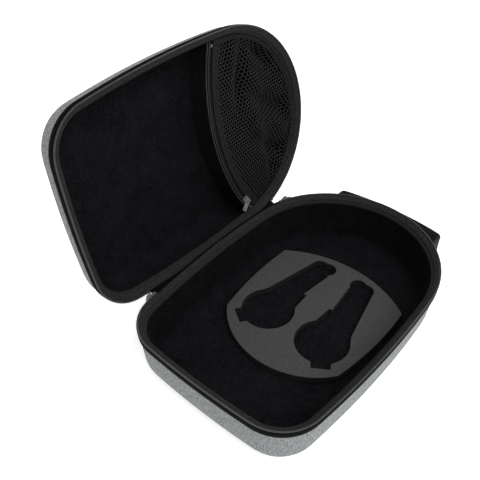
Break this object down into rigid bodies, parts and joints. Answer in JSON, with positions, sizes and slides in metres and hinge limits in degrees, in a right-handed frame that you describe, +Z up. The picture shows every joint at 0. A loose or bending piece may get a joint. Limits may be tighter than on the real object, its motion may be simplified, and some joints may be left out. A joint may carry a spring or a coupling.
{
  "type": "headset carrying case",
  "caption": "Hard clamshell zip case with a rounded nose, end handle, netted lid pocket and a loose foam insert with hand-controller recesses.",
  "frame": {"origin": "centre of the base's flat underside, midway along and across the rim outline", "axes": "+X towards the rounded nose that carries the handle, +Y towards the hinge, +Z up; the lid stands open 101.5 degrees from closed"},
  "size_m": [0.337, 0.2971, 0.2693],
  "materials": {
    "heather_cloth": "light grey melange woven cloth",
    "moulded_core": "heat-moulded closed-cell foam, hidden between the cloth and the lining",
    "plush_lining": "short black plush",
    "rim_binding": "dark woven binding",
    "black_tape": "woven tape",
    "zipper_coil": "moulded nylon coil",
    "webbing": "woven strap",
    "net": "open knitted net",
    "slider_metal": "satin grey",
    "pull_tab": "grey moulded grip",
    "insert_foam": "fine-cell dark grey foam"
  },
  "bodies": {
    "base": {"base_foam_core": "moulded_core", "base_hinge_tape": "black_tape", "base_lining": "plush_lining", "base_rim_binding": "rim_binding", "base_shell_fabric": "heather_cloth", "base_zipper_coil": "zipper_coil", "base_zipper_stop_left": "zipper_coil", "base_zipper_stop_right": "zipper_coil", "base_zipper_tape": "black_tape", "handle_patch_back": "webbing", "handle_patch_front": "webbing", "handle_strap": "webbing"},
    "lid": {"lid_foam_core": "moulded_core", "lid_hinge_tape": "black_tape", "lid_lining": "plush_lining", "lid_rim_binding": "rim_binding", "lid_shell_fabric": "heather_cloth", "lid_zipper_coil": "zipper_coil", "lid_zipper_stop_left": "zipper_coil", "lid_zipper_stop_right": "zipper_coil", "lid_zipper_tape": "black_tape", "pocket_gusset": "plush_lining", "pocket_net": "net", "pocket_net_border": "rim_binding", "pocket_tape_lid_side": "black_tape", "pocket_tape_net_side": "black_tape", "pocket_zipper_coil": "zipper_coil", "pocket_zipper_stop_back": "zipper_coil", "pocket_zipper_stop_front": "zipper_coil"},
    "left_slider": {"slider_left_body": "slider_metal"},
    "left_pull": {"slider_left_pull": "pull_tab"},
    "right_slider": {"slider_right_body": "slider_metal"},
    "right_pull": {"slider_right_pull": "pull_tab"},
    "pocket_slider": {"pocket_slider_body": "slider_metal"},
    "pocket_pull": {"pocket_slider_pull": "pull_tab"},
    "insert": {"foam_insert": "insert_foam"}
  },
  "joints": [
    {"name": "lid_hinge", "type": "hinge", "parent": "base", "child": "lid", "pos_m": [0, 0.10485, 0.06055], "axis": [-1, 0, 0], "range_deg": [-101.5, 18]},
    {"name": "left_slider_travel", "type": "hinge", "parent": "base", "child": "left_slider", "pos_m": [-0.11412, 0.05665, 0.067], "axis": [0, 0, 1], "range_deg": [0, 72]},
    {"name": "left_pull_swing", "type": "hinge", "parent": "left_slider", "child": "left_pull", "pos_m": [-0.113, 0.1031, 0.0628], "axis": [-0.113, 0.9936, 0], "range_deg": [-15, 60]},
    {"name": "right_slider_travel", "type": "hinge", "parent": "base", "child": "right_slider", "pos_m": [0.05414, 0, 0.067], "axis": [0, 0, -1], "range_deg": [0, 18]},
    {"name": "right_pull_swing", "type": "hinge", "parent": "right_slider", "child": "right_pull", "pos_m": [0.09801, 0.09853, 0.0628], "axis": [0.4067, 0.9135, 0], "range_deg": [-60, 35]},
    {"name": "pocket_slider_travel", "type": "hinge", "parent": "lid", "child": "pocket_slider", "pos_m": [0.236, 0.13938, 0.17787], "axis": [0, 0.9799, -0.1994], "range_deg": [0, 47]},
    {"name": "pocket_pull_swing", "type": "hinge", "parent": "pocket_slider", "child": "pocket_pull", "pos_m": [0.05188, 0.11925, 0.0789], "axis": [0, 0.9799, -0.1994], "range_deg": [-45, 60]},
    {"name": "insert_lift", "type": "slide", "parent": "base", "child": "insert", "axis": [0, 0, 1], "range_m": [0, 0.05]}
  ]
}
